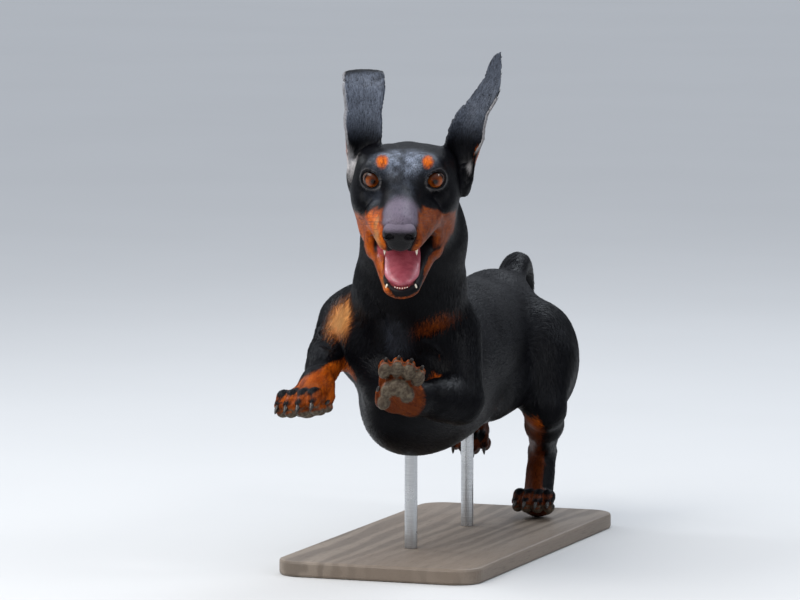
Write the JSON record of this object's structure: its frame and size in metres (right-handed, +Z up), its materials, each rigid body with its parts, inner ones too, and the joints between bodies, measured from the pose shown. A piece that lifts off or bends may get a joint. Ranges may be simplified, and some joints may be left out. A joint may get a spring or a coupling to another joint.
{
  "type": "dachshund",
  "caption": "Life-size still model of a leaping smooth black and tan dachshund, mouth open and ears flying up, held by two rods on a flat display base.",
  "frame": {"origin": "middle of the underside of the stand's base", "axes": "+Z up, the dog runs toward -Y, its left side is +X"},
  "size_m": [0.2312, 0.7055, 0.494],
  "materials": {
    "black_coat": "short glossy black coat",
    "tan_coat": "short tan coat",
    "nose_leather": "moist black leather",
    "eye": "glossy brown",
    "tongue": "wet pink",
    "stand_wood": "satin",
    "stand_steel": "brushed"
  },
  "bodies": {
    "root": {"ear_right": "black_coat", "ear_left": "black_coat", "lower_jaw": "tan_coat", "head": "black_coat", "neck": "black_coat", "fore_paw_right": "tan_coat", "fore_paw_left": "tan_coat", "forearm_right": "tan_coat", "forearm_left": "black_coat", "upper_arm_right": "black_coat", "upper_arm_left": "black_coat", "hind_paw_left": "tan_coat", "shank_left": "tan_coat", "thigh_left": "black_coat", "hind_paw_right": "tan_coat", "shank_right": "tan_coat", "thigh_right": "black_coat", "tail_end": "black_coat", "tail_root": "black_coat", "torso": "black_coat", "eye_right": "eye", "eye_left": "eye", "nose": "nose_leather", "tongue": "tongue", "stand_rod_front": "stand_steel", "stand_rod_rear": "stand_steel", "stand_base": "stand_wood"}
  },
  "joints": []
}
